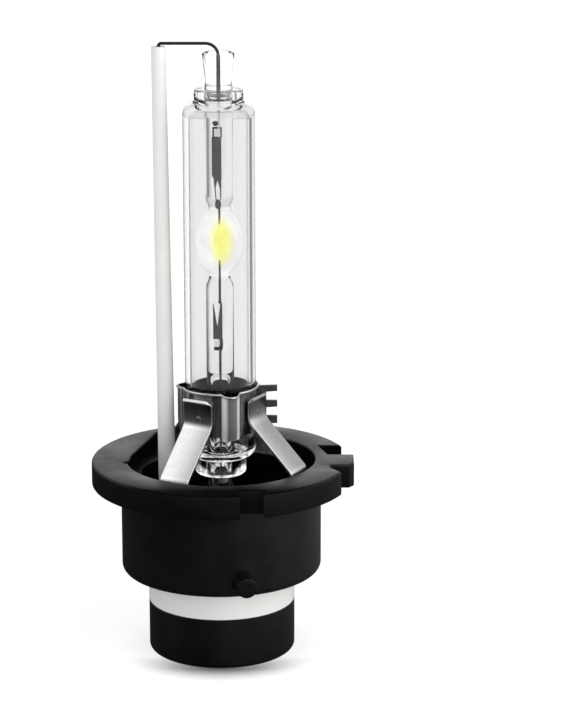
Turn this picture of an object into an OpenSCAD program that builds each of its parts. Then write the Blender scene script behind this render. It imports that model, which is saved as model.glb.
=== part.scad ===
// Xenon discharge headlight bulb with a 32 mm locating flange.
// The burner stands upright on +Z. The origin is the centre of the base's lower face.
// The return lead is on -X and the locating tab of the flange is on +X.

/* [Base] */
// Height of the flange's upper face, the optical reference plane
flange_top = 24.4; // [22:0.1:27]
// Radius of the locating flange
flange_r = 16; // [15.5:0.05:16.5]
// Thickness of the locating flange
flange_t = 3; // [2:0.1:4]
// Radius of the housing below the flange
body_r = 12.4; // [11.5:0.1:13.5]
// Height of the housing's lower edge
body_bottom = 10.3; // [8:0.1:12]
// Radius of the lower plug and of its contact ring
plug_r = 9.1; // [8.5:0.05:10]
// Height of the contact ring's lower edge
ring_bottom = 6.4; // [4:0.1:8]
// Radius of the well around the lamp stem
well_r = 11.65; // [11:0.05:12]
// Radius of a locking lug
lug_r = 1.25; // [1:0.05:1.6]
// Reach of a locking lug from the axis
lug_reach = 15; // [14:0.1:16]
// Turn of the locking lugs from the front
lug_turn = 13.5; // [0:0.5:45]

/* [Glass] */
// Radius of the outer tube
tube_r = 4.35; // [4:0.05:4.5]
// Wall of the outer tube
tube_wall = 0.8; // [0.5:0.05:1.2]
// Arc centre above the reference plane
arc_height = 27.4; // [26.5:0.1:28]
// Largest radius of the arc chamber
chamber_r = 2.97; // [2.5:0.01:3.3]
// Half height of the arc chamber
chamber_half = 3.95; // [3.2:0.05:4.5]
// Radius of the sealed stems
stem_r = 1.7; // [1.4:0.05:2]
// Height of the open tip above the reference plane
tip_height = 50.4; // [48:0.1:52]

/* [Leads] */
// Gap between the electrode tips
arc_gap = 4.2; // [3.5:0.1:5]
// Radius of the return wire
wire_r = 0.19; // [0.15:0.01:0.3]
// Distance of the return lead's foot from the lamp axis
return_offset = 6.63; // [6:0.05:7.5]
// Outward lean of the return lead, in degrees
return_lean = 0.47; // [0:0.02:1.5]
// Radius of the ceramic sleeve at its foot
sleeve_r = 1.07; // [0.8:0.01:1.2]
// Radius of the ceramic sleeve at its top
sleeve_top_r = 0.88; // [0.7:0.01:1.2]
// Height of the wire's top run above the reference plane
wire_top = 51.5; // [51:0.1:53]

/* [Holder] */
// Thickness of the clamp band
band_t = 0.3; // [0.2:0.05:0.5]
// Lower edge of the clamp band above the reference plane
band_low = 3.9; // [3:0.1:5]
// Upper edge of the clamp band above the reference plane
band_high = 9.6; // [7:0.1:10.5]
// Width of a leg
leg_w = 3.9; // [2.5:0.1:4.5]
// Thickness of a leg
leg_t = 0.35; // [0.25:0.05:0.5]

/* [Hidden] */
$fn = 64;
F = flange_top;
C = F + arc_height;
band_r = tube_r + band_t;
leg_turns = [-28.7, 61.5, 152, -148];
leg_shifts = [-0.33, 0.4, 0, 0];
leg_bends = [5.2, 5.5, 5.2, 5.2];
rib_turns = [17, -91];
lug_plate_turn = 96;
foot_r = 10.5;
ledge = F - 2;
floor_z = F - 7;
web_z = 12.3;
plug_step_r = plug_r - 0.4;
ring_thin_r = plug_r - 0.2;
ring_step_z = body_bottom - 0.1;
collar_low_r = 3.15;
collar_top_r = 2.95;
foil_x0 = -0.6;
foil_x1 = 0.2;
foil_t = 0.1;
up_foil_top = F + 40.3;
up_foil_low = F + 32.8;
low_foil_top = F + 19.8;
low_foil_low = F + 15.3;
lead_r = 0.14;
rod_r = 0.16;
top_joint = F + 44.6;
contact_r = 1.1;
contact_top = 11.9;
sleeve_low = 14.2;
sleeve_top = F + 51.15;

// A ring between two radii and two heights.
module ring(r_in, r_out, z0, z1) {
  rotate_extrude()
    translate([r_in, z0])
      square([r_out - r_in, z1 - z0]);
}

// A rod on the local Z axis.
module rod(r, z0, z1) {
  translate([0, 0, z0])
    cylinder(r = r, h = z1 - z0, $fn = 32);
}

// The plan of the flange: round, with a tab on +X, a notch on each side of it and one in front.
module flange_plan() {
  difference() {
    union() {
      circle(r = flange_r);
      polygon([[13, -3], [15.85, -3], [16.45, -2.2], [16.45, 1.75], [13, 1.75]]);
    }
    polygon([[12.2, 5.5], [13.3, 1.75], [18, 1.75], [18, 5.5]]);
    polygon([[13.6, -3], [18, -3], [18, -6.4], [14.6, -5.5], [13.6, -4]]);
    translate([2.65, -18])
      square([2.8, 4.6]);
  }
}

// Relief in the well's wall behind the return lead.
module well_relief() {
  translate([0, 0, ledge])
    linear_extrude(height = 4)
      polygon([[-11.3, 0.6], [-8.5, 11.6], [-5.2, 12.4], [-4.5, 9], [-9, 0]]);
}

// Small pointed notch in the well's rim.
module well_nick() {
  translate([0, 0, ledge])
    linear_extrude(height = 4)
      polygon([[-11, -0.9], [-12.3, -2.1], [-11, -2.5]]);
}

// Places a shape drawn for a leg that faces +X.
module at_leg(i) {
  rotate([0, 0, leg_turns[i] - 90])
    translate([0, leg_shifts[i], 0])
      children();
}

// The pocket of an anchor and the anchor itself share one shape.
module anchor_blade() {
  translate([foot_r + leg_t, -1.6, F - 5])
    cube([0.4, 3.2, 4.3]);
}

// The leaning line of the return lead, with its zero at the sleeve's foot.
module on_return_line() {
  translate([-return_offset, 0, sleeve_low])
    rotate([0, -return_lean, 0])
      children();
}

// The black housing: flange, body, well and two locking lugs.
module base_housing() {
  color([0.05, 0.05, 0.055])
  difference() {
    union() {
      translate([0, 0, F - flange_t])
        linear_extrude(height = flange_t)
          flange_plan();
      rotate_extrude($fn = 96)
        union() {
          translate([0, body_bottom])
            square([body_r - 0.9, F - flange_t - body_bottom + 0.5]);
          translate([0, body_bottom + 0.9])
            square([body_r, F - flange_t - body_bottom - 0.4]);
          translate([body_r - 0.9, body_bottom + 0.9])
            circle(r = 0.9, $fn = 32);
        }
      for (turn = [lug_turn, lug_turn + 180])
        rotate([0, 0, turn - 90])
          translate([10, 0, web_z + 0.1])
            rotate([0, 90, 0])
              cylinder(r = lug_r, h = lug_reach - 10, $fn = 48);
    }
    translate([0, 0, floor_z])
      cylinder(r = 10, h = 20);
    translate([0, 0, ledge])
      cylinder(r = well_r, h = 20, $fn = 96);
    well_relief();
    well_nick();
    translate([0, 0, -1])
      cylinder(r = ring_thin_r, h = web_z + 1, $fn = 96);
    translate([0, 0, 5])
      cylinder(r = 2.6, h = 20, $fn = 48);
    for (i = [0:3])
      at_leg(i)
        anchor_blade();
    on_return_line()
      cylinder(r = sleeve_r, h = 10, $fn = 32);
    on_return_line()
      translate([0, 0, -1.9])
        cylinder(r = 0.3, h = 4, $fn = 32);
    translate([-8.85, -0.9, web_z - 1])
      cube([2.7, 1.8, 2.3]);
  }
}

// The black plug: a cup with a hollow tower around the centre contact.
module lower_plug() {
  color([0.06, 0.06, 0.065])
  rotate_extrude($fn = 96)
    difference() {
      union() {
        translate([0, 0.6])
          square([plug_r, ring_bottom - 0.6]);
        square([plug_r - 0.6, 1]);
        translate([plug_r - 0.6, 0.6])
          circle(r = 0.6, $fn = 32);
        translate([0, ring_bottom - 0.5])
          square([plug_step_r, web_z - ring_bottom + 0.5]);
      }
      translate([2.9, -1])
        square([5, 9.6]);
      translate([-1, -1])
        square([4, 2.6]);
      translate([-1, -1])
        square([2.9, 9]);
      translate([-1, -1])
        square([contact_r + 1, 12.3]);
      translate([-1, 11.3])
        square([2.8, 2]);
      translate([-2, -2])
        square([2, 20]);
    }
}

// The plated ring that carries the earth side of the supply.
module contact_ring() {
  color([0.86, 0.85, 0.83])
  union() {
    ring(plug_step_r, plug_r, ring_bottom, ring_step_z);
    ring(plug_step_r, ring_thin_r, ring_bottom, web_z);
  }
}

// The headed pin in the middle of the plug.
module centre_contact() {
  color([0.78, 0.62, 0.32])
  union() {
    translate([0, 0, 2.6])
      cylinder(r = contact_r, h = 8.9, $fn = 48);
    translate([0, 0, 11.3])
      cylinder(r = 1.8, h = contact_top - 11.3, $fn = 48);
  }
}

// The outer tube, closed onto the burner stem by a collar at each end.
module outer_tube() {
  color([0.9, 0.94, 0.95, 0.35])
  rotate_extrude()
    difference() {
      union() {
        translate([0, F + 1.7])
          square([tube_r, 41.3]);
        translate([tube_r - 1.2, F + 1.7])
          circle(r = 1.2, $fn = 40);
        translate([tube_r - 1.4, F + 43])
          circle(r = 1.4, $fn = 40);
        translate([0, F - 1.3])
          square([collar_low_r, 4]);
        translate([0, F - 1.75])
          square([collar_low_r - 0.45, 1]);
        translate([collar_low_r - 0.45, F - 1.3])
          circle(r = 0.45, $fn = 32);
        translate([0, F + 42])
          square([collar_top_r, 3.8]);
        translate([0, F + 42])
          square([collar_top_r - 0.3, 4.1]);
        translate([collar_top_r - 0.3, F + 45.8])
          circle(r = 0.3, $fn = 32);
      }
      translate([-9, F - 3])
        square([9 + stem_r, 60]);
      translate([0, F + 1.9])
        square([tube_r - tube_wall, 40.8]);
      translate([0, F + 0.9])
        square([tube_r - tube_wall - 1, 42.9]);
      translate([tube_r - tube_wall - 1, F + 1.9])
        circle(r = 1, $fn = 32);
      translate([tube_r - tube_wall - 1.1, F + 42.7])
        circle(r = 1.1, $fn = 32);
    }
}

// Half outline of a chamber: a bulging arc of the given radius and half height.
module lemon(r, half, end_r) {
  shift = (half * half + end_r * end_r - r * r) / (2 * (r - end_r));
  translate([0, C])
    intersection() {
      translate([-shift, 0])
        circle(r = r + shift, $fn = 128);
      translate([0, -half])
        square([r + 1, 2 * half]);
    }
}

// The cavity of the arc chamber.
module cavity_shape(r) {
  rotate_extrude($fn = 48)
    lemon(r, 3.4 - (1.38 - r), 0.35);
}

// A foil from its plain end to its forked end, which faces the chamber.
module foil_plate(plain, fork, cut) {
  translate([0, foil_t / 2, 0])
    rotate([90, 0, 0])
      linear_extrude(height = foil_t)
        polygon([[foil_x0, plain], [foil_x1, plain], [foil_x1, fork], [0.03, fork],
            [-0.23, fork + cut], [foil_x0 + 0.05, fork], [foil_x0, fork]]);
}

module upper_foil_shape() {
  foil_plate(up_foil_top, up_foil_low, 2.8);
}

module lower_foil_shape() {
  foil_plate(low_foil_low, low_foil_top, -2.9);
}

module upper_electrode_shape() {
  rod(rod_r, C + arc_gap / 2, up_foil_low);
  rod(0.32, up_foil_low - 1.3, up_foil_low);
}

module lower_electrode_shape() {
  rod(rod_r, low_foil_top, C - arc_gap / 2);
}

// The quartz burner: two open-ended stems and the arc chamber between them.
module burner() {
  color([0.88, 0.92, 0.95, 0.4])
  difference() {
    rotate_extrude()
      difference() {
        union() {
          lemon(chamber_r, chamber_half, 1.25);
          translate([0, F - 1.75])
            square([stem_r, C - 3.8 - F + 1.75 - 0.8]);
          translate([0, F + 22])
            square([1.3, 12]);
          translate([0, C + 4.6])
            square([stem_r, F + 46.1 - C - 4.6]);
          translate([0, 15.2])
            square([1.9, F - 1.95 - 15.2]);
          translate([0, F - 2])
            square([stem_r, 1]);
          polygon([[0, F + 46], [stem_r, F + 46], [1.6, F + 46.9], [1.95, tip_height + F],
              [0, tip_height + F]]);
        }
        polygon([[-0.1, F + 44.9], [1, F + 44.9], [1.05, F + 46.9], [1.42, tip_height + F + 0.1],
            [-0.1, tip_height + F + 0.1]]);
        translate([-0.1, 15])
          square([1.1, F + 11 - 15]);
      }
    cavity_shape(1.38);
    upper_foil_shape();
    lower_foil_shape();
    upper_electrode_shape();
    lower_electrode_shape();
    rod(lead_r, up_foil_top, F + 46);
    rod(lead_r, F + 10, low_foil_low);
  }
}

// The thin yellow film of metal salts on the cavity wall.
module salt_film() {
  color([0.95, 0.92, 0.45, 0.6])
  difference() {
    cavity_shape(1.38);
    cavity_shape(1.2);
    upper_electrode_shape();
    lower_electrode_shape();
  }
}

module upper_foil() {
  color([0.32, 0.33, 0.34])
    upper_foil_shape();
}

module lower_foil() {
  color([0.32, 0.33, 0.34])
    lower_foil_shape();
}

module upper_electrode() {
  color([0.4, 0.4, 0.42])
    upper_electrode_shape();
}

module lower_electrode() {
  color([0.4, 0.4, 0.42])
    lower_electrode_shape();
}

// The short lead from the upper foil to its joint with the return wire.
module upper_lead() {
  color([0.25, 0.25, 0.26])
    rod(lead_r, up_foil_top, top_joint);
}

// The lead from the lower foil down to the centre contact.
module lower_lead() {
  color([0.25, 0.25, 0.26])
    rod(lead_r, contact_top, low_foil_low);
}

// The small washer that closes the open tip around the lead.
module lead_stop() {
  color([0.18, 0.18, 0.19])
    ring(lead_r, 0.8, F + 44.9, F + 45.2);
}

// The return wire: up out of the tip, across, and down through the ceramic sleeve.
module return_wire() {
  top = F + wire_top;
  big = 1.5;
  small = 0.35;
  rise = top - small - small * sin(return_lean) - sleeve_low;
  bend_x = small * cos(return_lean) - return_offset - rise * tan(return_lean);
  color([0.16, 0.16, 0.17])
  union() {
    rod(wire_r, top_joint, top - big);
    translate([-big, 0, top - big])
      rotate([90, 0, 0])
        rotate_extrude(angle = 90, $fn = 48)
          translate([big, 0])
            circle(r = wire_r, $fn = 24);
    translate([-big, 0, top])
      rotate([0, -90, 0])
        cylinder(r = wire_r, h = -bend_x - big, $fn = 24);
    translate([bend_x, 0, top - small])
      rotate([90, 0, 0])
        rotate([0, 0, 90])
          rotate_extrude(angle = 90 + return_lean, $fn = 48)
            translate([small, 0])
              circle(r = wire_r, $fn = 24);
    on_return_line()
      rod(wire_r, web_z + 0.31 - sleeve_low, rise / cos(return_lean));
    translate([bend_x - small * cos(return_lean), 0, top - small - small * sin(return_lean)])
      sphere(r = wire_r + 0.02, $fn = 24);
  }
}

// The long ceramic sleeve that insulates the return wire; it thins towards its top.
module ceramic_sleeve() {
  bore = 0.45;
  length = sleeve_top - sleeve_low;
  color([0.9, 0.9, 0.88])
    on_return_line()
      rotate_extrude($fn = 64)
        polygon([[bore, 0], [sleeve_r, 0], [sleeve_r, 10.2], [sleeve_top_r, length], [bore, length]]);
}

// The strap that joins the foot of the return wire to the contact ring.
module ground_strap() {
  color([0.75, 0.74, 0.7])
    translate([-8.82, -0.8, web_z])
      cube([2.62, 1.6, 0.3]);
}

// The band around the tube, with a raised rib between the legs.
module clamp_band() {
  color([0.62, 0.62, 0.62])
  difference() {
    union() {
      translate([0, 0, F + band_low])
        cylinder(r = band_r, h = band_high - band_low);
      for (turn = rib_turns)
        rotate([0, 0, turn - 90])
          translate([band_r - 0.4, 0, F + band_low - 0.3])
            cylinder(r = 1.2, h = band_high - band_low, $fn = 40);
    }
    translate([0, 0, F])
      cylinder(r = tube_r, h = 20);
    for (turn = rib_turns)
      rotate([0, 0, turn - 90])
        translate([band_r - 0.4, 0, F])
          cylinder(r = 0.9, h = 20, $fn = 40);
  }
}

// The closing lug of the band: two folded ears with slots between three fingers.
module clamp_lug() {
  color([0.4, 0.4, 0.4])
  rotate([0, 0, lug_plate_turn - 90])
    union() {
      translate([band_r, -0.3, F + 4.3])
        cube([1, 0.6, 4.9]);
      for (z = [4.3, 6.4, 8.4])
        translate([band_r, -0.3, F + z])
          cube([2.4, 0.6, 0.9]);
    }
}

// One leg: a plate on the band, a sloping strip and a foot that turns down into the well.
module leg(i) {
  head_top = F + 8.3;
  head_low = F + leg_bends[i];
  foot_z = F - 0.35;
  run = foot_r - band_r;
  drop = head_low - foot_z;
  slant = sqrt(run * run + drop * drop);
  lift = leg_t * (slant - drop) / run;
  color([0.72, 0.72, 0.71])
  at_leg(i)
    translate([0, leg_w / 2, 0])
      rotate([90, 0, 0])
        linear_extrude(height = leg_w)
          polygon([[band_r, head_top], [band_r, head_low], [foot_r, foot_z], [foot_r, ledge],
              [foot_r + leg_t, ledge], [foot_r + leg_t, foot_z + lift],
              [band_r + leg_t, head_low + lift], [band_r + leg_t, head_top]]);
}

module leg_front_left() {
  leg(0);
}

module leg_front_right() {
  leg(1);
}

module leg_back_right() {
  leg(2);
}

module leg_back_left() {
  leg(3);
}

// Four steel blades set in the housing, one behind each foot.
module leg_anchors() {
  color([0.55, 0.55, 0.55])
  for (i = [0:3])
    at_leg(i)
      anchor_blade();
}

base_housing();
lower_plug();
contact_ring();
centre_contact();
outer_tube();
burner();
salt_film();
upper_foil();
lower_foil();
upper_electrode();
lower_electrode();
upper_lead();
lower_lead();
lead_stop();
return_wire();
ceramic_sleeve();
ground_strap();
clamp_band();
clamp_lug();
leg_front_left();
leg_front_right();
leg_back_right();
leg_back_left();
leg_anchors();
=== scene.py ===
import math

import bmesh
import bpy
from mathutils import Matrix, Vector
from mathutils.geometry import delaunay_2d_cdt


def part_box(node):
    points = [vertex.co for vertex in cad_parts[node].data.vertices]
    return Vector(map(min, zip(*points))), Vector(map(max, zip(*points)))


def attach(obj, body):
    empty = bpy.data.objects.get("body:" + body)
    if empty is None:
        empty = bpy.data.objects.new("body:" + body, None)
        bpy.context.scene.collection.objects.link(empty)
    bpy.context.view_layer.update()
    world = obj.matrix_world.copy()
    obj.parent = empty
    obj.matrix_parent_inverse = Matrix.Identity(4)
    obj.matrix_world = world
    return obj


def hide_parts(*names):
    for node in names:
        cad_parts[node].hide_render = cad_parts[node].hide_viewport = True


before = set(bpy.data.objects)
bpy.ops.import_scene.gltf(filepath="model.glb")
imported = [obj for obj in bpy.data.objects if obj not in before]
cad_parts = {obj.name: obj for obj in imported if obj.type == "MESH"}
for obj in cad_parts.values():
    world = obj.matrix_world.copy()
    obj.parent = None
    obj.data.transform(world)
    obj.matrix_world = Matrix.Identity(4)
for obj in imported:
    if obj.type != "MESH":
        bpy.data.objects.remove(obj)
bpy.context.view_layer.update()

MM = 0.001


def low(node, axis):
    """Lowest coordinate of a CAD node, in millimetres."""
    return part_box(node)[0][axis] / MM


def high(node, axis):
    """Highest coordinate of a CAD node, in millimetres."""
    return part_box(node)[1][axis] / MM


# Heights and radii taken from the CAD frame, in millimetres.
X, Y, Z = 0, 1, 2
F = high("base_housing", Z)
FLANGE_T = 3.0
FLANGE_R = min(-low("base_housing", X), -low("base_housing", Y), high("base_housing", Y))
TAB_X = high("base_housing", X)
BODY_R = 12.4
BODY_LOW = low("base_housing", Z)
WELL_R = 11.65
WELL_IN_R = 10.0
LEDGE = F - 2.0
FLOOR_Z = F - 7.0
PLUG_R = high("lower_plug", X)
WEB_Z = high("lower_plug", Z)
RING_LOW = low("contact_ring", Z)
TUBE_R = high("outer_tube", X)
SLEEVE_LOW = low("ceramic_sleeve", Z)
TUBE_LOW = low("outer_tube", Z)
TUBE_HIGH = high("outer_tube", Z)
TIP_Z = high("burner", Z)
STEM_R = 1.7
STEM_LOW = low("burner", Z)
ARC_Z = (low("salt_film", Z) + high("salt_film", Z)) / 2
FOIL_FOOT = F + 15.3
FOIL_TOP = F + 40.3
JOINT_Z = F + 44.6
WIRE_R = 0.19
WIRE_TOP = high("return_wire", Z) - WIRE_R
SLEEVE_R = high("ceramic_sleeve", Y)
SLEEVE_TOP_R = 0.88
LEAN = math.radians(0.47)
WIRE_X = high("ceramic_sleeve", X) - SLEEVE_R * math.cos(LEAN)
BAND_LOW = F + 3.9
BAND_HIGH = high("clamp_band", Z)
BAND_R = TUBE_R + 0.3
LEGS = {
    "leg_front_left": (-28.7, -0.33, 5.2, 0.7),
    "leg_front_right": (61.5, 0.4, 5.5, 1.0),
    "leg_back_right": (152, 0, 5.2, 0.9),
    "leg_back_left": (-148, 0, 5.2, 0.9),
}
LEG_W = 3.9
LUG_TURN = 13.5
RIB_TURN = 17


# ---------------------------------------------------------------- mesh helpers

def finish_mesh(name, verts, faces, angle=35.0):
    """Makes a smooth-shaded object from millimetre vertices, sharp where faces meet steeply."""
    mesh = bpy.data.meshes.new(name)
    mesh.from_pydata([(x * MM, y * MM, z * MM) for x, y, z in verts], [], faces)
    mesh.validate()
    bm = bmesh.new()
    bm.from_mesh(mesh)
    bmesh.ops.remove_doubles(bm, verts=bm.verts, dist=1e-7)
    bmesh.ops.recalc_face_normals(bm, faces=bm.faces)
    bm.to_mesh(mesh)
    bm.free()
    mesh.shade_smooth()
    mesh.set_sharp_from_angle(angle=math.radians(angle))
    obj = bpy.data.objects.new(name, mesh)
    bpy.context.scene.collection.objects.link(obj)
    return obj


def arc(cx, cz, r, a0, a1, n):
    """Points on an arc in the profile plane, angles in degrees."""
    out = []
    for i in range(n + 1):
        a = math.radians(a0 + (a1 - a0) * i / n)
        out.append((cx + r * math.cos(a), cz + r * math.sin(a)))
    return out


def lathe_data(profile, segments, closed=True):
    """Vertices and faces of a surface of revolution; a radius of 0 gives a pole."""
    verts, rows = [], []
    for r, z in profile:
        if r < 1e-6:
            rows.append([len(verts)])
            verts.append((0.0, 0.0, z))
        else:
            rows.append([len(verts) + k for k in range(segments)])
            for k in range(segments):
                a = 2 * math.pi * k / segments
                verts.append((r * math.cos(a), r * math.sin(a), z))
    faces = []
    pairs = list(zip(rows, rows[1:]))
    if closed:
        pairs.append((rows[-1], rows[0]))
    for a, b in pairs:
        if len(a) == 1 and len(b) == 1:
            continue
        for k in range(segments):
            n = (k + 1) % segments
            if len(a) == 1:
                faces.append((a[0], b[n], b[k]))
            elif len(b) == 1:
                faces.append((a[k], a[n], b[0]))
            else:
                faces.append((a[k], a[n], b[n], b[k]))
    return verts, faces


def lathe(name, profile, segments=96, closed=True, angle=35.0):
    """An object turned from a profile of (radius, height) points."""
    verts, faces = lathe_data(profile, segments, closed)
    return finish_mesh(name, verts, faces, angle)


def loop_ring(loop, z):
    """A loop placed at a height."""
    return [(x, y, z) for x, y in loop]


def circle(radius, sides):
    """A round loop, anticlockwise."""
    turns = [2 * math.pi * k / sides for k in range(sides)]
    return [(radius * math.cos(a), radius * math.sin(a)) for a in turns]


def quarter_turn(steps):
    """Pairs of (1 - sin, 1 - cos) over a quarter turn, for rounding an edge."""
    turns = [math.radians(90 * i / steps) for i in range(steps + 1)]
    return [(1 - math.sin(a), 1 - math.cos(a)) for a in turns]


def inset(loop, d):
    """A closed loop moved inwards by d along its corner bisectors; the loop runs anticlockwise."""
    out = []
    n = len(loop)
    for i in range(n):
        p, q, s = Vector(loop[i - 1]), Vector(loop[i]), Vector(loop[(i + 1) % n])
        e0, e1 = (q - p).normalized(), (s - q).normalized()
        n0, n1 = Vector((-e0.y, e0.x)), Vector((-e1.y, e1.x))
        m = n0 + n1
        m = m / max(m.length_squared / 2, 0.35)
        out.append((q.x + m.x * d, q.y + m.y * d))
    return out


def stack(rings):
    """Quads between rings of the same length."""
    verts, faces = [], []
    n = len(rings[0])
    for ring in rings:
        verts += ring
    for j in range(len(rings) - 1):
        for k in range(n):
            a, b = j * n + k, j * n + (k + 1) % n
            faces.append((a, b, b + n, a + n))
    return verts, faces


def bar(rings):
    """Quads between rings of the same length, with both ends closed."""
    verts, faces = stack(rings)
    n = len(rings[0])
    faces.append(tuple(range(n)))
    faces.append(tuple(len(verts) - n + k for k in range(n)))
    return verts, faces


def slab(outline, half, flat, soft):
    """A plate in the XZ plane; its edge is full from -flat to flat, and softened beyond."""
    inner = inset(outline, soft)
    levels = ((inner, -half), (outline, -flat), (outline, flat), (inner, half))
    return bar([[(x, y, z) for x, z in loop] for loop, y in levels])


def cap(outer, inner, z):
    """A flat face between an outer and an inner loop, as triangles."""
    pts = [Vector(p) for p in outer] + [Vector(p) for p in inner]
    no, ni = len(outer), len(inner)
    edges = [(i, (i + 1) % no) for i in range(no)]
    edges += [(no + i, no + (i + 1) % ni) for i in range(ni)]
    out, _, tris, *_ = delaunay_2d_cdt(pts, edges, [], 0, 1e-7)
    hole = [Vector(p) for p in inner]
    keep = []
    for t in tris:
        c = sum((out[i] for i in t), Vector((0, 0))) / len(t)
        if inside(c, outer) and not inside(c, hole):
            keep.append(tuple(t))
    return [(p.x, p.y, z) for p in out], keep


def inside(p, loop):
    """Whether a point lies inside a closed loop."""
    hit = False
    n = len(loop)
    for i in range(n):
        x0, y0 = loop[i - 1]
        x1, y1 = loop[i]
        if (y0 > p.y) != (y1 > p.y):
            if p.x < (x1 - x0) * (p.y - y0) / (y1 - y0) + x0:
                hit = not hit
    return hit


def joined(name, parts, angle=35.0):
    """One object from several (vertices, faces) lists."""
    verts, faces = [], []
    for v, f in parts:
        base = len(verts)
        verts += v
        faces += [tuple(base + i for i in face) for face in f]
    return finish_mesh(name, verts, faces, angle)


def turned(points, turn):
    """Points drawn for the +X direction, turned to an angle from the front."""
    a = math.radians(turn - 90)
    c, s = math.cos(a), math.sin(a)
    return [(x * c - y * s, x * s + y * c, z) for x, y, z in points]


def shifted(data, y):
    """Mesh data moved along Y."""
    verts, faces = data
    return [(p[0], p[1] + y, p[2]) for p in verts], faces


def tube_path(points, radius, sides=16):
    """A round wire along a path of millimetre points, with flat ends."""
    pts = [Vector(p) for p in points]
    rings = []
    side = Vector((0, 1, 0))
    for i, p in enumerate(pts):
        t = (pts[min(i + 1, len(pts) - 1)] - pts[max(i - 1, 0)]).normalized()
        u = (side - t * side.dot(t)).normalized()
        w = t.cross(u)
        rings.append([tuple(p + (u * x + w * y) * radius) for x, y in circle(1, sides)])
    return bar(rings)


# ---------------------------------------------------------------- materials

def new_material(name):
    """A material with its nodes, links and shader."""
    mat = bpy.data.materials.new(name)
    mat.use_nodes = True
    nodes = mat.node_tree.nodes
    return mat, nodes, mat.node_tree.links, nodes["Principled BSDF"]


def fix_inputs(node, values):
    """Sets a node's own inputs: numbers and colours that are the same all over."""
    for name, value in values.items():
        node.inputs[name].default_value = value


def object_axes(nodes, links):
    """The place on the surface as X, Y and Z outputs, in metres."""
    place = nodes.new("ShaderNodeTexCoord")
    axes = nodes.new("ShaderNodeSeparateXYZ")
    links.new(place.outputs["Object"], axes.inputs["Vector"])
    return axes.outputs


def noise(nodes, links, scale, detail=4.0, rough=0.55, stretch=(1, 1, 1)):
    """Object-space noise; scale is in waves per metre."""
    coords = nodes.new("ShaderNodeTexCoord")
    mapping = nodes.new("ShaderNodeMapping")
    mapping.inputs["Scale"].default_value = stretch
    tex = nodes.new("ShaderNodeTexNoise")
    fix_inputs(tex, {"Scale": scale, "Detail": detail, "Roughness": rough})
    links.new(coords.outputs["Object"], mapping.inputs["Vector"])
    links.new(mapping.outputs["Vector"], tex.inputs["Vector"])
    return tex.outputs["Fac"]


def ramp(nodes, links, fac, stops):
    """A colour ramp with (position, colour) stops."""
    node = nodes.new("ShaderNodeValToRGB")
    while len(node.color_ramp.elements) < len(stops):
        node.color_ramp.elements.new(0.5)
    for e, (pos, col) in zip(node.color_ramp.elements, stops):
        e.position = pos
        e.color = (*col, 1)
    links.new(fac, node.inputs["Fac"])
    return node.outputs["Color"]


def spread(nodes, links, fac, lo, hi, a=0.3, b=0.7):
    """Maps a value's range a to b onto lo to hi."""
    node = nodes.new("ShaderNodeMapRange")
    fix_inputs(node, {"From Min": a, "From Max": b, "To Min": lo, "To Max": hi})
    links.new(fac, node.inputs["Value"])
    return node.outputs["Result"]


def bump(nodes, links, bsdf, height, strength, distance):
    """Fine relief; distance is in metres."""
    node = nodes.new("ShaderNodeBump")
    fix_inputs(node, {"Strength": strength, "Distance": distance})
    links.new(height, node.inputs["Height"])
    links.new(node.outputs["Normal"], bsdf.inputs["Normal"])


def math_node(nodes, links, operation, a, b):
    """One arithmetic node; each input is a socket or a number."""
    node = nodes.new("ShaderNodeMath")
    node.operation = operation
    for socket, value in zip(node.inputs, (a, b)):
        if isinstance(value, (int, float)):
            socket.default_value = value
        else:
            links.new(value, socket)
    return node.outputs["Value"]


def black_plastic(name, roughness=0.36, tone=1.0, gloss=0.4):
    """Black moulded plastic with a fine grain."""
    mat, nodes, links, bsdf = new_material(name)
    broad = noise(nodes, links, 260, 3)
    grain = noise(nodes, links, 5200, 2, 0.6)
    dark = (0.0016 * tone, 0.0017 * tone, 0.002 * tone)
    pale = (0.0034 * tone, 0.0036 * tone, 0.0042 * tone)
    links.new(ramp(nodes, links, broad, [(0.3, dark), (0.72, pale)]), bsdf.inputs["Base Color"])
    rough = spread(nodes, links, broad, roughness - 0.05, roughness + 0.07)
    links.new(rough, bsdf.inputs["Roughness"])
    bsdf.inputs["Specular IOR Level"].default_value = gloss
    bump(nodes, links, bsdf, grain, 0.22, 0.00003)
    return mat


def flange_painted_sheen_plastic(name):
    """The flange's top face, whose sheen is painted to fade towards the front: painted shade on its
    reflection.
    """
    mat = black_plastic(name)
    nodes, links = mat.node_tree.nodes, mat.node_tree.links
    axes = object_axes(nodes, links)
    # painted shade: the IOR, and with it the reflection, falls towards the front
    sheen = spread(nodes, links, axes["Y"], 1.06, 1.5, -13.6 * MM, -9.0 * MM)
    links.new(sheen, nodes["Principled BSDF"].inputs["IOR"])
    return mat


def plated(name):
    """Pale tin plate with faint turning marks."""
    mat, nodes, links, bsdf = new_material(name)
    turned_marks = noise(nodes, links, 900, 4, 0.6, (0.12, 0.12, 1.6))
    fog = noise(nodes, links, 180, 3)
    links.new(
        ramp(nodes, links, fog, [(0.25, (0.78, 0.775, 0.755)), (0.75, (0.86, 0.857, 0.845))]),
        bsdf.inputs["Base Color"],
    )
    links.new(spread(nodes, links, turned_marks, 0.34, 0.5), bsdf.inputs["Roughness"])
    bsdf.inputs["Metallic"].default_value = 0.12
    bump(nodes, links, bsdf, turned_marks, 0.12, 0.00002)
    return mat


def brushing(nodes, links):
    """Fine marks drawn out along Z."""
    return noise(nodes, links, 1500, 5, 0.62, (1, 1, 0.12))


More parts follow.
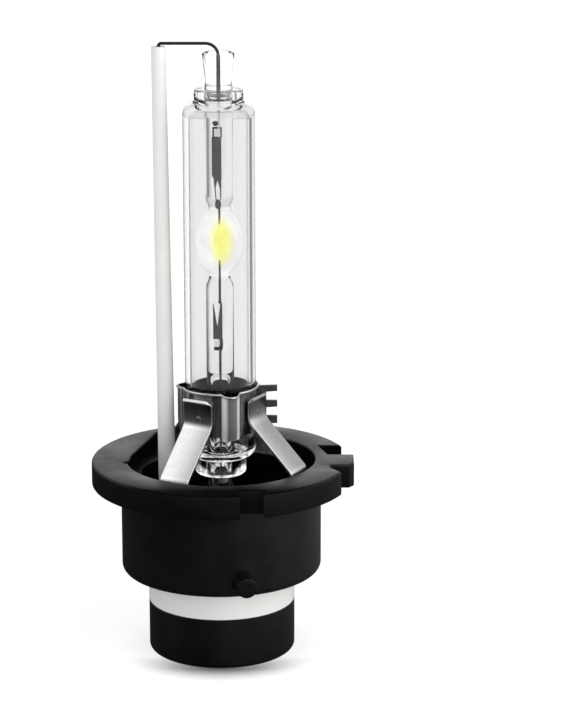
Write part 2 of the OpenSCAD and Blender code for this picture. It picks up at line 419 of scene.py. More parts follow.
def steel(name, pale, dark, roughness, metallic=1.0):
    """Brushed metal between a pale and a dark tone."""
    mat, nodes, links, bsdf = new_material(name)
    brushed = brushing(nodes, links)
    cloud = noise(nodes, links, 320, 3)
    links.new(ramp(nodes, links, cloud, [(0.3, dark), (0.7, pale)]), bsdf.inputs["Base Color"])
    links.new(
        spread(nodes, links, brushed, roughness - 0.06, roughness + 0.1), bsdf.inputs["Roughness"]
    )
    fix_inputs(bsdf, {"Metallic": metallic, "Specular IOR Level": 0.5 if metallic > 0 else 0.1})
    bump(nodes, links, bsdf, brushed, 0.14, 0.00002)
    return mat


def rib_painted_highlights(name):
    """Sheet with painted highlights on the shoulders of the front rib and painted shade along its
    middle.
    """
    mat, nodes, links, bsdf = new_material(name)
    brushed = brushing(nodes, links)
    place = nodes.new("ShaderNodeTexCoord")
    across = nodes.new("ShaderNodeVectorMath")
    across.operation = "DOT_PRODUCT"
    links.new(place.outputs["Object"], across.inputs[0])
    turn = math.radians(RIB_TURN)
    across.inputs[1].default_value = (math.cos(turn), math.sin(turn), 0)
    side = math_node(nodes, links, "ABSOLUTE", across.outputs["Value"], 0.0)
    shoulder = spread(nodes, links, side, 0.0, 1.0, 0.0, 1.25 * MM)
    # painted highlights on the rib's shoulders, painted shade along its middle and at its edges
    stops = [(0.0, (0.14, 0.14, 0.138)), (0.4, (0.17, 0.17, 0.168)), (0.64, (0.86, 0.86, 0.85))]
    stops += [(0.84, (0.9, 0.9, 0.89)), (0.95, (0.06, 0.06, 0.06))]
    links.new(ramp(nodes, links, shoulder, stops), bsdf.inputs["Base Color"])
    links.new(spread(nodes, links, brushed, 0.3, 0.44), bsdf.inputs["Roughness"])
    bsdf.inputs["Metallic"].default_value = 0.2
    bump(nodes, links, bsdf, brushed, 0.08, 0.00002)
    return mat


def leg_sheet(name):
    """Bright pressed sheet, darker towards the clamp band as painted shade, with a painted highlight
    along its top lip.
    """
    mat, nodes, links, bsdf = new_material(name)
    brushed = brushing(nodes, links)
    axes = object_axes(nodes, links)
    height = spread(nodes, links, axes["Z"], 0.0, 1.0, (F + 4) * MM, (F + 9) * MM)
    # painted shade on the head plates, rising towards the band, and a painted highlight on the lip at
    # the top
    stops = [(0.2, (0.78, 0.78, 0.775)), (0.38, (0.6, 0.6, 0.59)), (0.56, (0.3, 0.3, 0.295))]
    stops += [(0.78, (0.17, 0.17, 0.165)), (0.84, (0.66, 0.66, 0.65))]
    links.new(ramp(nodes, links, height, stops), bsdf.inputs["Base Color"])
    links.new(spread(nodes, links, brushed, 0.24, 0.34), bsdf.inputs["Roughness"])
    bsdf.inputs["Metallic"].default_value = 1.0
    bump(nodes, links, bsdf, brushed, 0.06, 0.00002)
    return mat


def glass(name, tint, ior=1.46, painted_glow=0.0):
    """Clear glass with a slight ripple; its last argument sets a patchy painted glow in its skin,
    painted light though the glass is no lamp.
    """
    mat, nodes, links, bsdf = new_material(name)
    ripple = noise(nodes, links, 150, 2, 0.4, (1, 1, 0.3))
    links.new(
        ramp(nodes, links, ripple, [(0.3, tint), (0.7, tuple(min(1, c + 0.006) for c in tint))]),
        bsdf.inputs["Base Color"],
    )
    links.new(spread(nodes, links, ripple, 0.0, 0.012), bsdf.inputs["Roughness"])
    clear = {"Transmission Weight": 1.0, "IOR": ior, "Emission Color": (1, 1, 0.97, 1)}
    fix_inputs(bsdf, clear)
    patches = noise(nodes, links, 700, 2, 0.5, (1, 1, 0.5))
    # painted light: a patchy glow in the glass
    glow_strength = spread(nodes, links, patches, 0.0, painted_glow * 2, 0.35, 0.65)
    links.new(glow_strength, bsdf.inputs["Emission Strength"])
    bump(nodes, links, bsdf, ripple, 0.05, 0.0001)
    return mat


def salt(name, alpha, painted_salt_glow):
    """Faint yellow layer in the salts' own colour, with a painted glow: it shines though it is no lamp.
    """
    mat, nodes, links, bsdf = new_material(name)
    cloud = noise(nodes, links, 700, 3)
    col = ramp(nodes, links, cloud, [(0.25, (0.93, 0.91, 0.08)), (0.75, (0.97, 0.95, 0.2))])
    body = ramp(nodes, links, cloud, [(0.25, (0.1, 0.1, 0.01)), (0.75, (0.12, 0.12, 0.02))])
    links.new(body, bsdf.inputs["Base Color"])
    links.new(col, bsdf.inputs["Emission Color"])
    links.new(spread(nodes, links, cloud, 0.5, 0.7), bsdf.inputs["Roughness"])
    # painted light: the salts glow though they are no lamp
    fix_inputs(bsdf, {"Specular IOR Level": 0.0, "Emission Strength": painted_salt_glow, "Alpha": alpha})
    return mat


def ceramic(name):
    """White unglazed ceramic."""
    mat, nodes, links, bsdf = new_material(name)
    cloud = noise(nodes, links, 240, 4)
    grain = noise(nodes, links, 3600, 3, 0.6)
    links.new(
        ramp(nodes, links, cloud, [(0.25, (0.82, 0.82, 0.8)), (0.75, (0.88, 0.88, 0.86))]),
        bsdf.inputs["Base Color"],
    )
    links.new(spread(nodes, links, grain, 0.5, 0.66), bsdf.inputs["Roughness"])
    bump(nodes, links, bsdf, grain, 0.18, 0.00003)
    return mat


# The floor's own light, and the contact shadow's reach in millimetres.
FLOOR_GLOW = 0.85
CONTACT_REACH = 4.8
# The strip to the right behind the object that the glass sees darker.
STRIP_DARK = 0.25
# What polished surfaces see of the floor, under the object and further right.
FLOOR_DIM = 0.04
FLOOR_SHEEN = 0.3


def plain_light(nodes, strength):
    """A white emission shader; its strength may be linked later."""
    node = nodes.new("ShaderNodeEmission")
    fix_inputs(node, {"Color": (1, 1, 1, 1), "Strength": strength})
    return node


def blended(nodes, links, share, first, second):
    """Mixes two shaders; a share of 1 gives the second."""
    node = nodes.new("ShaderNodeMixShader")
    links.new(share, node.inputs["Fac"])
    links.new(first, node.inputs[1])
    links.new(second, node.inputs[2])
    return node.outputs["Shader"]


def contact_shadow(nodes, links, axes):
    """How dark the floor is close to the object, kept to the front."""
    near = nodes.new("ShaderNodeAmbientOcclusion")
    near.samples = 16
    near.inputs["Distance"].default_value = CONTACT_REACH * MM
    dark = spread(nodes, links, near.outputs["AO"], 1.0, 0.0, 0.6, 0.99)
    front = spread(nodes, links, axes["Y"], 1.0, 0.1, -9.0 * MM, -4.5 * MM)
    return math_node(nodes, links, "MULTIPLY", dark, front)


def dark_strip(nodes, links, axes):
    """A wedge of floor between two slopes of X over Y, behind the object."""
    behind = math_node(nodes, links, "MAXIMUM", axes["Y"], MM)
    slope = math_node(nodes, links, "DIVIDE", axes["X"], behind)
    rise = spread(nodes, links, slope, 0.0, 1.0, 0.3, 0.6)
    fall = spread(nodes, links, slope, 1.0, 0.0, 0.95, 1.15)
    return math_node(nodes, links, "MULTIPLY", rise, fall)


def floor_material():
    """Pale paper; polished surfaces see it dim, as they would a table cut out of the light."""
    mat, nodes, links, bsdf = new_material("floor_paper")
    grain = noise(nodes, links, 40, 3)
    links.new(
        ramp(nodes, links, grain, [(0.3, (0.3, 0.3, 0.3)), (0.7, (0.31, 0.31, 0.31))]),
        bsdf.inputs["Base Color"],
    )
    matt = {"Roughness": 0.9, "Specular IOR Level": 0.0, "Emission Color": (1, 1, 1, 1)}
    fix_inputs(bsdf, matt)
    axes = object_axes(nodes, links)
    dark = contact_shadow(nodes, links, axes)
    links.new(spread(nodes, links, dark, FLOOR_GLOW, 0.0, 0.0, 1.0), bsdf.inputs["Emission Strength"])
    path = nodes.new("ShaderNodeLightPath").outputs
    strip = dark_strip(nodes, links, axes)
    strip = math_node(nodes, links, "MULTIPLY", strip, path["Is Transmission Ray"])
    shaded = plain_light(nodes, STRIP_DARK)
    paper = blended(nodes, links, strip, bsdf.outputs["BSDF"], shaded.outputs["Emission"])
    dim = plain_light(nodes, FLOOR_DIM)
    sheen = spread(nodes, links, axes["X"], FLOOR_DIM, FLOOR_SHEEN, 0.0, 60 * MM)
    links.new(sheen, dim.inputs["Strength"])
    mirrored = math_node(nodes, links, "MULTIPLY", path["Is Glossy Ray"], path["Is Reflection Ray"])
    bare = math_node(nodes, links, "LESS_THAN", path["Transmission Depth"], 0.5)
    seen = math_node(nodes, links, "MULTIPLY", mirrored, bare)
    whole = blended(nodes, links, seen, paper, dim.outputs["Emission"])
    links.new(whole, nodes["Material Output"].inputs["Surface"])
    return mat


MATS = {
    "black": black_plastic("black_satin_plastic"),
    "black_low": black_plastic("black_plug_plastic", 0.38, 0.9),
    # the flange's rim: a darker, duller copy of the same plastic, painted shade
    "black_side": black_plastic("black_edge_painted_shade", 0.45, 0.8, 0.17),
    "black_top": flange_painted_sheen_plastic("black_flange_painted_sheen"),
    "black_lug": black_plastic("black_lug_plastic", 0.45, 0.5, 0.2),
    # the well's walls: the darkest, nearly glossless copy of the plastic, painted shade in the recess
    "black_well": black_plastic("black_well_painted_shade", 0.55, 0.4, 0.04),
    "plate": plated("tin_plate"),
    "brass": steel("turned_brass", (0.7, 0.5, 0.22), (0.55, 0.38, 0.16), 0.3),
    "tube": glass("outer_glass", (0.84, 0.84, 0.84)),
    "edge": glass("edge_painted_glow", (0.9, 0.9, 0.9), 1.46, 0.5),
    "quartz": glass("clear_quartz", (0.99, 0.99, 0.99)),
    # the chamber's wall carries a faint painted glow
    "chamber": glass("chamber_wall", (0.99, 0.99, 0.988), 1.1, 0.05),
    "gas": glass("chamber_gas", (1.0, 1.0, 0.995), 1.001),
    "stem": glass("lower_stem", (0.99, 0.99, 0.99), 1.25),
    "salt": salt("yellow_salts", 0.105, 1.12),
    "foil": steel("molybdenum_foil", (0.12, 0.12, 0.122), (0.06, 0.06, 0.06), 0.45),
    "rod": steel("tungsten_rod", (0.1, 0.1, 0.1), (0.05, 0.05, 0.052), 0.4),
    "bright": steel("polished_lead", (0.92, 0.92, 0.92), (0.85, 0.85, 0.85), 0.3),
    "wire": steel("oxidised_wire", (0.07, 0.07, 0.075), (0.03, 0.03, 0.03), 0.42),
    "ceramic": ceramic("white_ceramic"),
    "sheet": leg_sheet("bright_sheet"),
    "band": steel("clamp_sheet", (0.4, 0.4, 0.39), (0.26, 0.26, 0.255), 0.22),
    "seal": steel("oxide_seal", (0.012, 0.012, 0.012), (0.005, 0.005, 0.005), 0.6, 0.0),
    # near black on the band's inner faces: painted shade between the band and the glass
    "inside_shade": steel("band_inside_painted_shade", (0.012, 0.012, 0.012), (0.006, 0.006, 0.006), 0.5, 0.0),
    "rib": rib_painted_highlights("rib_painted_highlight_sheet"),
    # the band's rolled bead: the band's sheet made paler, a painted highlight
    "rim": steel("rim_painted_highlight", (0.8, 0.8, 0.79), (0.7, 0.7, 0.69), 0.3),
    # a darker grey sheet, for the closing lug and the leg anchors
    "dark": steel("dark_grey_sheet", (0.16, 0.155, 0.15), (0.07, 0.068, 0.065), 0.38),
}


def dress(obj, material, stands_for=()):
    """Gives a piece its material and its place on the body, and hides the CAD nodes it stands for."""
    obj.data.materials.clear()
    obj.data.materials.append(MATS[material])
    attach(obj, "root")
    if stands_for:
        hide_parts(*stands_for)


# ---------------------------------------------------------------- base

def flange_outline():
    """The flange seen from above, anticlockwise: round, with a tab and three notches."""
    pts = []

    def rim(a0, a1, n):
        for i in range(n + 1):
            a = math.radians(a0 + (a1 - a0) * i / n)
            pts.append((FLANGE_R * math.cos(a), FLANGE_R * math.sin(a)))

    def up(y):
        return math.degrees(math.asin(y / FLANGE_R))

    def along(x):
        return 270 + math.degrees(math.asin(x / FLANGE_R))

    tab_front, tab_back = -3.0, 1.75
    notch_left, notch_right, notch_in = 2.65, 5.45, -13.4
    pts += [(TAB_X - 0.6, tab_front), (TAB_X, -2.2), (TAB_X, tab_back), (13.3, tab_back), (12.2, 5.5)]
    rim(up(5.5), along(notch_left), 170)
    pts += [(notch_left, notch_in), (notch_right, notch_in)]
    rim(along(notch_right), 360 - up(6.0), 36)
    pts += [(14.6, -5.5), (13.6, -4.0), (13.6, tab_front)]
    return pts


def well_outline():
    """The well's mouth seen from above, anticlockwise, with the relief behind the return lead."""
    pts = []
    a_in = math.degrees(math.atan2(10.6, -4.9))
    for i in range(150):
        a = math.radians(-168 + (a_in + 168) * i / 149)
        pts.append((WELL_R * math.cos(a), WELL_R * math.sin(a)))
    pts += [(-5.2, 12.4), (-8.5, 11.6), (-11.2, 1.2), (-11.25, -1.0), (-12.1, -2.1)]
    return pts


def build_housing():
    """Flange, well and body as one skin."""
    outer, well = flange_outline(), well_outline()
    soft, lip, edge, sides = 0.28, 0.2, 0.9, 128
    under = F - FLANGE_T
    rings = [loop_ring(inset(outer, soft * s), F - soft * c) for s, c in quarter_turn(4)]
    rings.append(loop_ring(outer, under + soft))
    rings += [loop_ring(inset(outer, soft * c), under + soft * s) for s, c in quarter_turn(4)[1:]]
    mouth = [loop_ring(inset(well, -lip * s), F - lip * c) for s, c in quarter_turn(4)]
    mouth.append(loop_ring(well, LEDGE))
    face = inset(outer, soft)
    parts = [stack(rings), stack(mouth), cap(face, inset(well, -lip), F)]
    parts.append(cap(face, circle(BODY_R, sides), under))
    parts.append(cap(well, circle(WELL_IN_R, sides), LEDGE))
    body = [(BODY_R, under)]
    body += arc(BODY_R - edge, BODY_LOW + edge, edge, 0, -90, 8)
    body += [(PLUG_R, BODY_LOW), (PLUG_R, WEB_Z), (2.6, WEB_Z)]
    body += arc(3.0, FLOOR_Z - 0.4, 0.4, 180, 90, 4)
    body += arc(WELL_IN_R - 0.6, FLOOR_Z + 0.6, 0.6, -90, 0, 5)
    body += [(WELL_IN_R, LEDGE)]
    parts.append(lathe_data(body, sides, closed=False))
    return joined("housing", parts, 38)


def face_housing(housing):
    """The flange's rim, its top face and the well's walls, as further materials: painted shade on the
    rim and the walls, and a painted sheen on the top face.
    """
    for material in ("black_side", "black_top", "black_well"):
        housing.data.materials.append(MATS[material])
    side, top, wall = 1, 2, 3
    for face in housing.data.polygons:
        x, y, z = (value / MM for value in face.center)
        r = math.hypot(x, y)
        # painted shade on the well's inward-facing walls
        if FLOOR_Z < z < F - 0.1 and x * face.normal.x + y * face.normal.y < -0.5:
            face.material_index = wall
        elif z < F - FLANGE_T + 0.02 or r < WELL_R - 0.9:
            continue
        elif abs(face.normal.z) > 0.5 and z > F - 0.3:
            face.material_index = top
        elif r > BODY_R + 0.3:
            face.material_index = side


def build_lug(name, turn):
    """A short round locking lug with a softened end."""
    r, reach, root = 1.25, 15.0, 12.0
    profile = [(0, root), (r + 0.35, root), (r + 0.12, root + 0.45), (r, root + 0.7)]
    profile += arc(r - 0.22, reach - 0.22, 0.22, 0, 90, 4)
    profile += [(r * 0.45, reach), (0, reach - 0.05)]
    verts, faces = lathe_data(profile, 40, closed=False)
    placed = turned([(z, x, y + WEB_Z + 0.1) for x, y, z in verts], turn)
    return finish_mesh(name, placed, faces, 40)


def build_plug():
    """The plug: outer wall, and the tower that holds the centre contact."""
    r, step = PLUG_R, PLUG_R - 0.4
    profile = arc(r - 0.6, 0.6, 0.6, -90, 0, 6)
    profile += [(r, RING_LOW - 0.12), (r - 0.12, RING_LOW), (step, RING_LOW), (step, WEB_Z)]
    profile += [(1.8, WEB_Z), (1.8, 11.3), (1.1, 11.3), (1.1, 8.0), (1.9, 8.0)]
    profile += [(1.9, 1.75), (2.0, 1.6), (2.75, 1.6), (2.9, 1.75), (2.9, 8.3)]
    profile += arc(3.2, 8.3, 0.3, 180, 90, 3)
    profile += arc(7.6, 8.3, 0.3, 90, 0, 3)
    profile += [(7.9, 0.25), (8.1, 0.0)]
    return lathe("plug", profile, 128, angle=38)


def build_contact_ring():
    """The plated ring let into the plug's outer wall."""
    r, step, soft = PLUG_R, PLUG_R - 0.4, 0.1
    profile = arc(r - soft, RING_LOW + soft, soft, -90, 0, 4)
    profile += [(r, WEB_Z), (step, WEB_Z), (step, RING_LOW)]
    return lathe("earth_ring", profile, 128)


def build_centre_contact():
    """The headed pin in the plug's tower."""
    profile = [(0, 2.6)] + arc(0.75, 2.95, 0.35, -90, 0, 5)
    profile += [(1.1, 11.3), (1.8, 11.3), (1.8, 11.8), (1.7, 11.9), (0, 11.9)]
    return lathe("centre_pin", profile, 48, closed=False)


# ---------------------------------------------------------------- glass and burner

def build_tube():
    """The outer tube: a closed skin with rounded shoulders and a collar at each end."""
    stem = STEM_R + 0.002
    lo_collar, hi_collar = 3.15, 2.95
    wall = 0.8
    inner = TUBE_R - wall
    outer = [(stem, TUBE_LOW)]
    outer += arc(lo_collar - 0.45, TUBE_LOW + 0.45, 0.45, -90, 0, 6)
    outer += [(lo_collar, F + 0.35)]
    outer += arc(TUBE_R - 1.2, F + 1.7, 1.2, -75, 0, 10)
    outer += [(TUBE_R, F + 12), (TUBE_R, F + 30)]
    outer += arc(TUBE_R - 1.4, F + 43, 1.4, 0, 82, 12)
    outer += [(hi_collar, F + 44.75), (hi_collar + 0.03, F + 45.3)]
    outer += arc(hi_collar - 0.3, TUBE_HIGH - 0.3, 0.3, 0, 90, 5)
    outer += [(stem + 0.45, TUBE_HIGH - 0.06), (stem, TUBE_HIGH)]
    cavity = [(stem, F + 43.75)]
    cavity += arc(inner - 1.1, F + 42.6, 1.1, 88, 0, 10)
    cavity += [(inner, F + 30), (inner, F + 12)]
    cavity += arc(inner - 1.0, F + 1.95, 1.0, 0, -88, 10)
    cavity += [(stem, F + 0.93)]
    return lathe("outer_glass_tube", outer + cavity, 128, angle=50)


def paint_edge_glow(tube):
    """The lower collar's rim and the foot of its shoulder, as a further material that glows: painted
    highlights.
    """
    tube.data.materials.append(MATS["edge"])
    for face in tube.data.polygons:
        x, y, z = (value / MM for value in face.center)
        rim = z < TUBE_LOW + 0.5 and math.hypot(x, y) > 2.6
        shoulder = F + 0.3 < z < F + 0.75 and math.hypot(x, y) > 3.0
        if rim or shoulder:
            face.material_index = 1


def barrel(r, half, end_r, n):
    """A bulging outline around the arc's centre, from the lower end to the upper one."""
    shift = (half * half + end_r * end_r - r * r) / (2 * (r - end_r))
    big = r + shift
    a = math.degrees(math.asin(half / big))
    return arc(-shift, ARC_Z, big, -a, a, n)


def build_burner():
    """Quartz: stems, arc chamber and open flared tip; and apart from it, the chamber's room."""
    stem = STEM_R
    lower = [(1.1, STEM_LOW), (1.75, STEM_LOW), (1.9, STEM_LOW + 0.2), (1.9, F - 2.15)]
    lower += [(stem, F - 1.9), (stem, ARC_Z - 6.0), (stem - 0.05, ARC_Z - 5.2)]
    lower += [(1.42, ARC_Z - 4.75), (1.3, ARC_Z - 4.35), (1.32, ARC_Z - 4.05)]
    chamber = barrel(2.97, 3.85, 1.42, 26)
    upper = [(1.32, ARC_Z + 4.05), (1.3, ARC_Z + 4.35), (1.42, ARC_Z + 4.75)]
    upper += [(stem - 0.05, ARC_Z + 5.2), (stem, ARC_Z + 6.0), (stem, F + 46.1)]
    upper += [(1.64, F + 46.5), (1.6, F + 46.9), (1.66, F + 47.8), (1.8, F + 48.8)]
    upper += [(1.9, F + 49.8), (1.94, TIP_Z - 0.12), (1.88, TIP_Z), (1.56, TIP_Z)]
    bore = [(1.44, TIP_Z - 0.14), (1.3, F + 49.4), (1.14, F + 48.2), (1.05, F + 46.9)]
    bore += [(1.0, F + 45.6), (0.92, F + 45.05), (0.6, F + 44.85), (0, F + 44.8)]
    low_bore = [(0, F + 11.0), (0.55, F + 10.9), (0.95, F + 10.4), (1.05, F + 9.0)]
    low_bore += [(1.1, STEM_LOW + 4)]
    skin = low_bore + lower + chamber + upper + bore
    room = [(0, ARC_Z - 3.42)] + barrel(1.38, 3.4, 0.35, 24) + [(0, ARC_Z + 3.42)]
    quartz = lathe("quartz_burner", skin, 96, closed=False, angle=50)
    return quartz, lathe_data(room, 64, closed=False)


def add_cavity(obj, data):
    """Adds an inner closed skin whose faces point into the cavity, and returns its face count."""
    points, quads = data
    mesh = bpy.data.meshes.new("cavity")
    mesh.from_pydata([(x * MM, y * MM, z * MM) for x, y, z in points], [], quads)
    bm = bmesh.new()
    bm.from_mesh(mesh)
    bmesh.ops.recalc_face_normals(bm, faces=bm.faces)
    bmesh.ops.reverse_faces(bm, faces=bm.faces)
    bm.to_mesh(mesh)
    bm.free()
    whole = bmesh.new()
    whole.from_mesh(obj.data)
    whole.from_mesh(mesh)
    whole.to_mesh(obj.data)
    whole.free()
    obj.data.shade_smooth()
    obj.data.set_sharp_from_angle(angle=math.radians(50))
    count = len(mesh.polygons)
    bpy.data.meshes.remove(mesh)
    return count


def part_quartz(quartz, room_faces):
    """The chamber's wall, the gas in its room and the lower stem, as further materials."""
    for material in ("chamber", "gas", "stem"):
        quartz.data.materials.append(MATS[material])
    wall, gas, stem = 1, 2, 3
    first_inner = len(quartz.data.polygons) - room_faces
    for face in quartz.data.polygons:
        x, y, z = (value / MM for value in face.center)
        bore = z > JOINT_Z and math.hypot(x, y) < 1.5
        if face.index >= first_inner:
            face.material_index = gas
        elif bore or abs(z - ARC_Z) < 4.4:
            face.material_index = wall
        elif F + 8.5 < z < ARC_Z:
            face.material_index = stem


# Radius and half height of each cloud of salt, and how far the clouds sit off the axis.
SALT_SHELLS = [(1.42 - 0.12 * i, 2.95 - 0.19 * i) for i in range(9)]
SALT_ASIDE = 0.26


def build_salts():
    """Nested thin-walled clouds of salt, denser to the middle of the chamber."""
    parts = []
    for r, half in SALT_SHELLS:
        unit = arc(0, 0, 1, -90, 90, 20)
        outline = [(r * x, ARC_Z + 0.1 + half * z) for x, z in unit]
        verts, faces = lathe_data(outline, 48, closed=False)
        parts.append(([(x + SALT_ASIDE, y, z) for x, y, z in verts], faces))
    return joined("salt_cloud", parts, 60)


def sheet_data(outline, thick):
    """Mesh data of a thin sheet in the XZ plane."""
    half = thick / 2
    return slab(outline, half, half * 0.4, 0.02)


def build_foils():
    """Two foils with a V cut towards the chamber; the right prong meets the electrode."""
    left, right, thick = -0.6, 0.2, 0.1
    up = [(left, FOIL_TOP), (left, F + 35.7), (-0.46, F + 35.3), (-0.3, F + 32.75)]
    up += [(-0.21, F + 32.75), (-0.29, F + 34.2), (-0.13, F + 35.1), (0.07, F + 34.0), (0.06, F + 32.8)]
    up += [(0.15, F + 32.8), (right, F + 35.3), (right, FOIL_TOP)]
    low_left, low_right, prong = -0.68, 0.23, 0.03
    down = [(low_left, FOIL_FOOT), (low_right, FOIL_FOOT), (low_right, F + 19.8), (prong, F + 19.8)]
    down += [(-0.26, F + 16.9), (low_left + 0.06, F + 19.8), (low_left, F + 19.7)]
    upper = finish_mesh("foil_upper", *sheet_data(up, thick))
    lower = finish_mesh("foil_lower", *sheet_data(down, thick))
    return upper, lower


def rod_data(r, z0, z1, soft=0.04):
    """Mesh data of an upright rod on the axis."""
    outline = [(0, z0), (r - soft, z0), (r, z0 + soft), (r, z1 - soft), (r - soft, z1), (0, z1)]
    return lathe_data(outline, 24, closed=False)


def build_electrodes():
    """Thin rods; the upper one carries a small lump where it meets its foil."""
    gap, r = 2.1, 0.12
    lump = [(0, F + 31.4), (0.08, F + 31.45), (0.17, F + 31.7), (0.24, F + 32.05), (0.25, F + 32.4)]
    lump += [(0.17, F + 32.75), (0, F + 32.85)]
    verts, faces = lathe_data(lump, 32, closed=False)
    aside = [(x - 0.1, y, z) for x, y, z in verts]
    upper = joined("electrode_upper", [rod_data(r, ARC_Z + gap, F + 32.6), (aside, faces)])
    knob = [(0, F + 19.75), (0.14, F + 19.8), (0.19, F + 19.95), (0.14, F + 20.1), (0, F + 20.2)]
    lower = joined(
        "electrode_lower",
        [rod_data(r, F + 19.8, ARC_Z - gap), lathe_data(knob, 24, closed=False)],
    )
    return upper, lower


# Flattened ends of the leads: dark seams behind, pale tabs in front (x from, to, z from, to).
FOIL_JOINTS = [
    (-0.52, 0.24, F + 40.25, F + 41.55),
    (0.02, 0.27, F + 14.3, F + 15.35),
    (-0.6, 0.18, F + 13.85, F + 14.3),
]
FOIL_TABS = [
    (-0.4, 0.14, F + 40.4, F + 41.35),
    (-0.6, -0.02, F + 14.5, F + 15.15),
]
# Weld beads on the leads (x, z, radius).
BEADS = [(-0.28, F + 42.05, 0.25), (0.07, F + 14.2, 0.2)]


def tab_data(x0, x1, z0, z1, y):
    """A thin rectangular tab, set off from the foils' plane."""
    return shifted(sheet_data([(x0, z0), (x1, z0), (x1, z1), (x0, z1)], 0.06), y)


def build_leads():
    """The leads above and below the foils."""
    up = finish_mesh("lead_upper", *rod_data(0.1, FOIL_TOP, JOINT_Z))
    down = finish_mesh("lead_lower", *rod_data(0.13, high("centre_contact", Z), FOIL_FOOT))
    return up, down


def build_lead_ends():
    """Dark weld beads and seams, and pale tabs, where the leads meet the foils."""
    beads = []
    for x, z, r in BEADS:
        verts, faces = lathe_data([(0, -r), *arc(0, 0, r, -72, 72, 8), (0, r)], 20, closed=False)
        beads.append(([(p[0] + x, p[1], p[2] * 1.6 + z) for p in verts], faces))
    beads += [tab_data(*place, 0.07) for place in FOIL_JOINTS]
    tabs = [tab_data(*place, -0.09) for place in FOIL_TABS]
    return joined("lead_beads", beads), joined("lead_tabs", tabs)


def build_seal():
    """The dark seal mark around the lead in the upper collar."""
    mark = [(0.12, F + 44.5), (0.42, F + 44.56), (0.5, F + 44.62), (0.42, F + 44.68)]
    mark += [(0.12, F + 44.74)]
    return lathe("lead_seal", mark, 32)


def return_line(rise):
    """A point on the leaning line of the return lead, at a distance above the sleeve's foot."""
    return (WIRE_X - rise * math.sin(LEAN), 0, SLEEVE_LOW + rise * math.cos(LEAN))


def build_return_wire():
    """The wire out of the tip, across in one easy bend and down the leaning sleeve."""
    big, small = 1.5, 0.35
    rise = WIRE_TOP - small - small * math.sin(LEAN) - SLEEVE_LOW
    bend_x = small * math.cos(LEAN) + WIRE_X - rise * math.tan(LEAN)
    pts = [(0, 0, JOINT_Z + (WIRE_TOP - big - JOINT_Z) * i / 6) for i in range(7)]
    for i in range(1, 13):
        a = math.radians(90 * i / 12)
        pts.append((-big + big * math.cos(a), 0, WIRE_TOP - big + big * math.sin(a)))
    pts.append(((bend_x - big) / 2, 0, WIRE_TOP))
    for i in range(9):
        a = math.radians(90) + (math.radians(90) + LEAN) * i / 8
        pts.append((bend_x + small * math.cos(a), 0, WIRE_TOP - small + small * math.sin(a)))
    pts.append(return_line(WEB_Z + 0.32 - SLEEVE_LOW))
    return finish_mesh("earth_wire", *tube_path(pts, WIRE_R))


def build_sleeve():
    """The ceramic sleeve, thinning towards its top."""
    length, bore = high("ceramic_sleeve", Z) - SLEEVE_LOW - 0.02, 0.45
    foot, top = SLEEVE_R - 0.005, SLEEVE_TOP_R - 0.005
    outline = [(bore, 0), (foot - 0.1, 0), (foot, 0.1), (foot, 10.2)]
    outline += [(foot + (top - foot) * i / 6, 10.2 + (length - 10.35) * i / 6) for i in range(1, 7)]
    outline += [(top - 0.04, length - 0.04), (top - 0.12, length), (bore + 0.06, length)]
    outline += [(bore, length - 0.06)]
    verts, faces = lathe_data(outline, 48)
    c, t = math.cos(LEAN), math.sin(LEAN)
    leaning = [(WIRE_X + x * c - z * t, y, SLEEVE_LOW + 0.013 + z * c + x * t) for x, y, z in verts]
    return finish_mesh("insulating_sleeve", leaning, faces)


# ---------------------------------------------------------------- holder

def rib(angle, centre, half, height):
    """Raised amount of a rounded rib at an angle, both in degrees."""
    d = abs((angle - centre + 180) % 360 - 180) / half
    if d >= 1:
        return 0.0
    return height * (0.5 + 0.5 * math.cos(math.pi * d)) ** 0.6


def band_shape(turn, t):
    """Radius and height of the band's inner skin at a turn and a share of its height."""
    front, left = rib(turn, RIB_TURN, 15.5, 1.05), rib(turn, -91, 15, 0.7)
    raised = front + left
    droop = 0.15 * (0.5 + 0.5 * math.cos(math.radians(turn + 90)))
    top = BAND_HIGH - 0.12 - 0.2 * min(1, front / 0.6) - droop
    base = BAND_LOW - 0.25 * min(1, raised / 0.3)
    lap = 0.1 if -13 < turn < 1 else 0.0
    lip = max(0.0, (t - 0.9) / 0.1)
    r = TUBE_R + 0.02 + raised * (1 - 0.25 * max(0, 0.25 - t) * 4) + 0.14 * lip * lip + lap
    return r, base + (top - base) * t


def build_band():
    """The clamp band as a thin sheet: half-round ribs, a lapped seam and a flared rim."""
    sheet = 0.22
    steps, rows = 360, 30
    grid_in, grid_out = [], []
    for j in range(rows + 1):
        ring_in, ring_out = [], []
        for k in range(steps):
            turn = 360 * k / steps - 180
            r, z = band_shape(turn, j / rows)
            a = math.radians(turn - 90)
            c, s = math.cos(a), math.sin(a)
            ring_in.append((r * c, r * s, z))
            ring_out.append(((r + sheet) * c, (r + sheet) * s, z))
        grid_in.append(ring_in)
        grid_out.append(ring_out)
    rings = grid_out + grid_in[::-1] + [grid_out[0]]
    return finish_mesh("clamp_ring", *stack(rings), 40)


def paint_band_shading(band):
    """Painted shade in near black on the band's inner faces, and the rib with its painted highlights
    and shade, as further materials.
    """
    band.data.materials.append(MATS["inside_shade"])
    band.data.materials.append(MATS["rib"])
    turn = math.radians(RIB_TURN)
    across = Vector((math.cos(turn), math.sin(turn)))
    out = Vector((math.sin(turn), -math.cos(turn)))
    for face in band.data.polygons:
        centre = Vector(face.center[:2])
        if centre.dot(Vector(face.normal[:2])) < -0.3 * centre.length:
            face.material_index = 1
        elif abs(centre.dot(across)) < 1.3 * MM and centre.dot(out) > 0:
            face.material_index = 2


